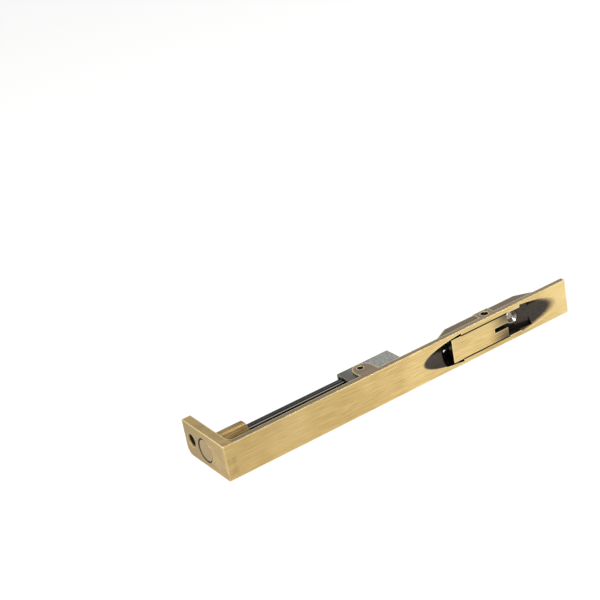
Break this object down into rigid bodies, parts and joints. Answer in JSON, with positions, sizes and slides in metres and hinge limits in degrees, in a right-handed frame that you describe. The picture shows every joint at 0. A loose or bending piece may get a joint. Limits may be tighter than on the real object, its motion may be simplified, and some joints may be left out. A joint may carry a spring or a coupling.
{
  "type": "lever-action flush bolt",
  "caption": "Flush bolt for a door edge: a face plate with an end flange and a flip lever in a finger recess that drives a round bolt on a rod through a link and slide channel.",
  "frame": {"origin": "centre of the bounding box at its bottom, the bolt lying on its long side", "axes": "+X along the face plate away from the flange, +Y from the show face to the back, +Z across the plate's width"},
  "size_m": [0.225, 0.041, 0.02],
  "materials": {
    "antique_brass": "brushed antique",
    "bolt_brass": "brushed antique",
    "dark_rod": "blackened",
    "zinc_steel": "zinc grey",
    "link_steel": "bright",
    "pin_steel": "dull"
  },
  "bodies": {
    "casting": {"face_casting": "antique_brass", "pivot_pins": "pin_steel", "guide_pin": "pin_steel"},
    "lever_body": {"lever": "antique_brass", "crank_pin": "pin_steel"},
    "link_body": {"drive_link": "link_steel", "link_pin": "pin_steel"},
    "slide_body": {"bolt_head": "bolt_brass", "bolt_rod": "dark_rod", "slide_channel": "zinc_steel", "thrust_block": "zinc_steel", "block_rivet": "pin_steel"}
  },
  "joints": [
    {"name": "lever_turn", "type": "hinge", "parent": "casting", "child": "lever_body", "pos_m": [0.05875, -0.01546, 0.01], "axis": [0, 0, 1], "range_deg": [0, 166]},
    {"name": "link_swing", "type": "hinge", "parent": "lever_body", "child": "link_body", "pos_m": [0.06669, -0.01449, 0.01], "axis": [0, 0, 1], "range_deg": [-166, 0]},
    {"name": "bolt_throw", "type": "slide", "parent": "casting", "child": "slide_body", "axis": [-1, 0, 0], "range_m": [0, 0.0159]}
  ],
  "couplings": [
    {"joint": "link_swing", "follows": "lever_turn", "ratio": -1},
    {"joint": "bolt_throw", "follows": "lever_turn", "m_per_rad": 0.005481}
  ]
}
